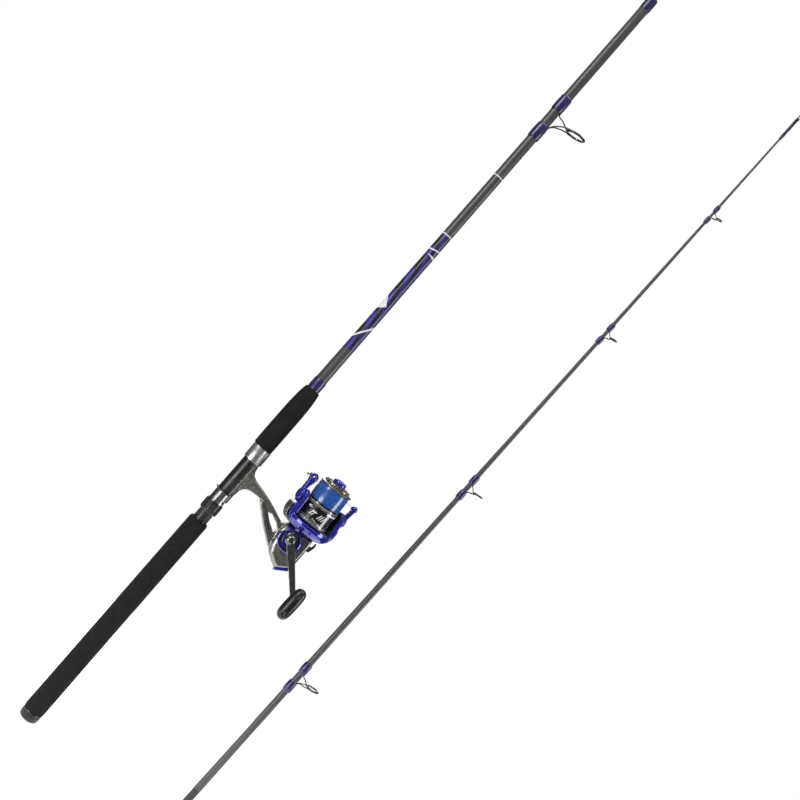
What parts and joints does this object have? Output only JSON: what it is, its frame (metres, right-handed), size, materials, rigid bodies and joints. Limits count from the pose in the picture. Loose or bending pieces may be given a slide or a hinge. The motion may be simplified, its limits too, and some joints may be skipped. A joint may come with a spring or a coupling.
{
  "type": "fishing rod and reel",
  "caption": "Two-piece spinning rod, its sections side by side, with a spinning reel clamped in the seat of the butt section.",
  "frame": {"origin": "centre of the butt cap's flat end face", "axes": "+Z along the butt section from the cap to the ferrule, +X from the rod towards the reel and the guides, -Y on the side of the reel's crank"},
  "size_m": [0.2825, 0.1293, 1.2649],
  "materials": {
    "eva_foam": "matt closed-cell foam",
    "black_rubber": "satin moulded rubber",
    "graphite_blank": "charcoal fibre composite under clear gloss",
    "black_plastic": "satin moulded plastic",
    "brushed_steel": "brushed round the ring",
    "thread_winding": "wound thread under clear epoxy",
    "guide_wire": "black plated steel wire",
    "guide_ring": "polished black ceramic",
    "pewter_body": "metallic pewter lacquer",
    "blue_lacquer": "gloss royal blue lacquer",
    "brass": "machined",
    "chrome": "polished",
    "blue_line": "wound nylon line",
    "spool_black": "gloss black with silver stripes",
    "gunmetal": "dark polished metal"
  },
  "bodies": {
    "butt_section": {"butt_cap": "black_rubber", "rear_grip": "eva_foam", "butt_blank": "graphite_blank", "ferrule_sleeve": "graphite_blank", "reel_seat": "black_plastic", "fixed_hood": "brushed_steel", "fore_grip": "eva_foam", "fore_grip_winding": "thread_winding", "ferrule_winding": "thread_winding", "stripper_frame": "guide_wire", "stripper_ring": "guide_ring", "stripper_winding_rear": "thread_winding", "stripper_winding_front": "thread_winding", "reel_body": "pewter_body", "side_cover": "blue_lacquer", "rear_cap": "blue_lacquer", "drive_bearing_near": "chrome", "drive_bearing_far": "chrome", "far_side_cap": "black_plastic", "pinion_bearing": "chrome"},
    "seat_hood": {"moving_hood": "brushed_steel"},
    "seat_nut": {"lock_nut": "black_plastic"},
    "tip_section": {"tip_blank": "graphite_blank", "guide_2_frame": "guide_wire", "guide_2_ring": "guide_ring", "guide_2_winding": "thread_winding", "guide_3_frame": "guide_wire", "guide_3_ring": "guide_ring", "guide_3_winding": "thread_winding", "guide_4_frame": "guide_wire", "guide_4_ring": "guide_ring", "guide_4_winding": "thread_winding", "guide_5_frame": "guide_wire", "guide_5_ring": "guide_ring", "guide_5_winding": "thread_winding", "tip_top": "guide_wire", "tip_top_ring": "guide_ring", "tip_top_winding": "thread_winding", "ferrule_spigot": "black_plastic"},
    "reverse_switch": {"anti_reverse_lever": "black_plastic"},
    "crank": {"drive_gear": "brass", "handle_arm": "gunmetal"},
    "knob": {"handle_knob": "black_rubber"},
    "crosswind_gear": {"oscillation_gear": "black_plastic"},
    "shaft": {"main_shaft": "chrome", "oscillation_slider": "brass", "drag_washer": "brushed_steel"},
    "spool_body": {"spool": "spool_black", "wound_line": "blue_line"},
    "drag": {"drag_knob": "blue_lacquer"},
    "rotor_body": {"rotor": "blue_lacquer", "pinion_gear": "brass", "rotor_nut": "brushed_steel", "arm_cover": "pewter_body"},
    "bail": {"bail_arm": "blue_lacquer", "bail_wire": "chrome", "bail_holder": "blue_lacquer", "roller_screw": "chrome"},
    "roller": {"line_roller": "chrome"}
  },
  "joints": [
    {"name": "hood_slide", "type": "slide", "parent": "butt_section", "child": "seat_hood", "axis": [0, 0, -1], "range_m": [0, 0.006]},
    {"name": "nut_turn", "type": "hinge", "parent": "seat_hood", "child": "seat_nut", "pos_m": [0, 0, 0.3685], "axis": [0, 0, 1], "range_deg": [0, 1080]},
    {"name": "tip_draw", "type": "slide", "parent": "butt_section", "child": "tip_section", "axis": [0.0138, 0, 0.9999], "range_m": [0, 0.076]},
    {"name": "reverse_switch_turn", "type": "hinge", "parent": "butt_section", "child": "reverse_switch", "pos_m": [0.1333, 0, 0.409], "axis": [1, 0, 0], "range_deg": [0, 30]},
    {"name": "crank_turn", "type": "hinge", "parent": "butt_section", "child": "crank", "pos_m": [0.1074, -0.043, 0.41], "axis": [0, 1, 0], "continuous": true},
    {"name": "knob_turn", "type": "hinge", "parent": "crank", "child": "knob", "pos_m": [0.1606, -0.0715, 0.3546], "axis": [0, 1, 0], "continuous": true},
    {"name": "crosswind_turn", "type": "hinge", "parent": "butt_section", "child": "crosswind_gear", "pos_m": [0.1074, 0.005, 0.392], "axis": [0, 1, 0], "continuous": true},
    {"name": "rotor_turn", "type": "hinge", "parent": "butt_section", "child": "rotor_body", "pos_m": [0.11116, 0, 0.43427], "axis": [-0.0476, 0, 0.9989], "continuous": true},
    {"name": "shaft_stroke", "type": "slide", "parent": "butt_section", "child": "shaft", "axis": [-0.0476, 0, 0.9989], "range_m": [-0.008, 0.006]},
    {"name": "spool_slip", "type": "hinge", "parent": "shaft", "child": "spool_body", "pos_m": [0.10901, 0, 0.47922], "axis": [-0.0476, 0, 0.9989], "continuous": true},
    {"name": "drag_turn", "type": "hinge", "parent": "shaft", "child": "drag", "pos_m": [0.10806, 0, 0.49919], "axis": [-0.0476, 0, 0.9989], "range_deg": [-360, 360]},
    {"name": "bail_swing", "type": "hinge", "parent": "rotor_body", "child": "bail", "pos_m": [0.10987, 0, 0.46124], "axis": [0.8819, 0.4695, 0.0421], "range_deg": [0, 105]},
    {"name": "roller_turn", "type": "hinge", "parent": "bail", "child": "roller", "pos_m": [0.07456, -0.01154, 0.48658], "axis": [-0.4689, 0.8829, -0.0224], "continuous": true}
  ],
  "couplings": [
    {"joint": "hood_slide", "follows": "nut_turn", "m_per_rad": 0.00031831},
    {"joint": "rotor_turn", "follows": "crank_turn", "ratio": 5.125},
    {"joint": "crosswind_turn", "follows": "crank_turn", "ratio": -0.5}
  ]
}
